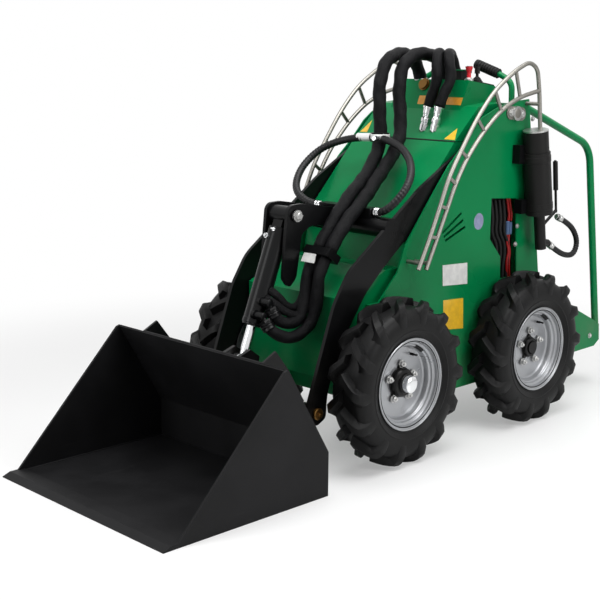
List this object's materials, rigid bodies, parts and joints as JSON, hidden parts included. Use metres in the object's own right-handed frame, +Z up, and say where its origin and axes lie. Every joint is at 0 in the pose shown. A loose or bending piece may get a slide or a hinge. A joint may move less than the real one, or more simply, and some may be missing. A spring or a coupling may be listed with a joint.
{
  "type": "skid steer loader",
  "caption": "Compact stand-on skid steer loader: green body, black lift arms with tilting dirt bucket, lug tyres, tube arm guards and a rear standing platform with rails.",
  "frame": {"origin": "centre of the bounding box at ground level, between the wheels", "axes": "+X forward to the bucket, +Y to the machine's left, +Z up"},
  "size_m": [2.193, 0.76, 1.2469],
  "materials": {
    "black_paint": "satin",
    "black_plastic": "satin",
    "black_rubber": "matte",
    "brass": "satin",
    "bright_steel": "polished",
    "bucket_black": "satin",
    "cast_grey": "rough",
    "gloss_black_paint": "gloss",
    "green_paint": "gloss",
    "red_plastic": "gloss",
    "rim_silver": "satin",
    "stainless_tube": "satin",
    "tyre_rubber": "matte"
  },
  "bodies": {
    "lift_arms": {"cross_tube": "gloss_black_paint", "hose_block": "black_paint", "hose_clamp": "black_paint", "hose_collar": "black_paint", "hose_ring": "black_rubber", "hose_tails": "black_rubber", "lift_arm_left": "gloss_black_paint", "lift_arm_right": "gloss_black_paint", "tilt_lug_left": "gloss_black_paint", "tilt_lug_right": "gloss_black_paint", "tilt_top_pin": "bright_steel"},
    "bucket_tool": {"bucket": "bucket_black", "cutting_edge": "bucket_black", "hitch": "bucket_black", "hitch_pins": "bright_steel"},
    "tilt_barrel_body": {"tilt_barrel": "gloss_black_paint"},
    "tilt_rod_body": {"tilt_rod": "bright_steel"},
    "wheel_front_left": {"front_hub_cap_left": "black_paint", "front_rim_left": "rim_silver", "front_tyre_left": "tyre_rubber"},
    "wheel_front_right": {"front_hub_cap_right": "black_paint", "front_rim_right": "rim_silver", "front_tyre_right": "tyre_rubber"},
    "wheel_rear_left": {"rear_rim_left": "rim_silver", "rear_tyre_left": "tyre_rubber"},
    "wheel_rear_right": {"rear_rim_right": "rim_silver", "rear_tyre_right": "tyre_rubber"},
    "machine": {"arm_guard_left": "stainless_tube", "arm_guard_right": "stainless_tube", "arm_pivot_pins": "bright_steel", "chassis": "green_paint", "console": "green_paint", "control_levers": "black_plastic", "coupler": "bright_steel", "engine": "cast_grey", "filler_cap": "brass", "front_stub_axles": "black_paint", "grease_gun": "black_plastic", "grease_hose": "black_rubber", "grips": "black_rubber", "gun_holder": "black_plastic", "handles": "green_paint", "hood_front": "green_paint", "hood_top": "green_paint", "hose_drop": "black_rubber", "hose_loop_left": "black_rubber", "hose_loop_right": "black_rubber", "platform_floor": "green_paint", "platform_side_left": "green_paint", "platform_side_right": "green_paint", "rear_panel": "green_paint", "rear_rail_left": "green_paint", "rear_rail_right": "green_paint", "rear_stub_axles": "black_paint", "red_knob": "red_plastic", "side_plate_left": "green_paint", "side_plate_right": "green_paint"}
  },
  "joints": [
    {"name": "lift", "type": "hinge", "parent": "machine", "child": "lift_arms", "pos_m": [-0.4965, 0, 1.033], "axis": [0, -1, 0], "range_deg": [0, 78], "deforming": ["hose_loop_left", "hose_loop_right"]},
    {"name": "bucket_tilt", "type": "hinge", "parent": "lift_arms", "child": "bucket_tool", "pos_m": [0.4095, 0, 0.187], "axis": [0, -1, 0], "range_deg": [-60, 20]},
    {"name": "tilt_barrel_swing", "type": "hinge", "parent": "lift_arms", "child": "tilt_barrel_body", "pos_m": [0.3275, 0, 0.746], "axis": [0, -1, 0], "range_deg": [-1, 3], "deforming": ["hose_tails"]},
    {"name": "tilt_rod_slide", "type": "slide", "parent": "tilt_barrel_body", "child": "tilt_rod_body", "axis": [0.368, 0, -0.9298], "range_m": [-0.05, 0.148]},
    {"name": "wheel_front_left_spin", "type": "hinge", "parent": "machine", "child": "wheel_front_left", "pos_m": [0.1515, 0.315, 0.255], "axis": [0, 1, 0], "continuous": true},
    {"name": "wheel_front_right_spin", "type": "hinge", "parent": "machine", "child": "wheel_front_right", "pos_m": [0.1515, -0.315, 0.255], "axis": [0, 1, 0], "continuous": true},
    {"name": "wheel_rear_left_spin", "type": "hinge", "parent": "machine", "child": "wheel_rear_left", "pos_m": [-0.5065, 0.315, 0.255], "axis": [0, 1, 0], "continuous": true},
    {"name": "wheel_rear_right_spin", "type": "hinge", "parent": "machine", "child": "wheel_rear_right", "pos_m": [-0.5065, -0.315, 0.255], "axis": [0, 1, 0], "continuous": true}
  ],
  "couplings": [
    {"joint": "tilt_barrel_swing", "follows": "bucket_tilt", "ratio": -0.04},
    {"joint": "tilt_rod_slide", "follows": "bucket_tilt", "m_per_rad": -0.13894}
  ]
}
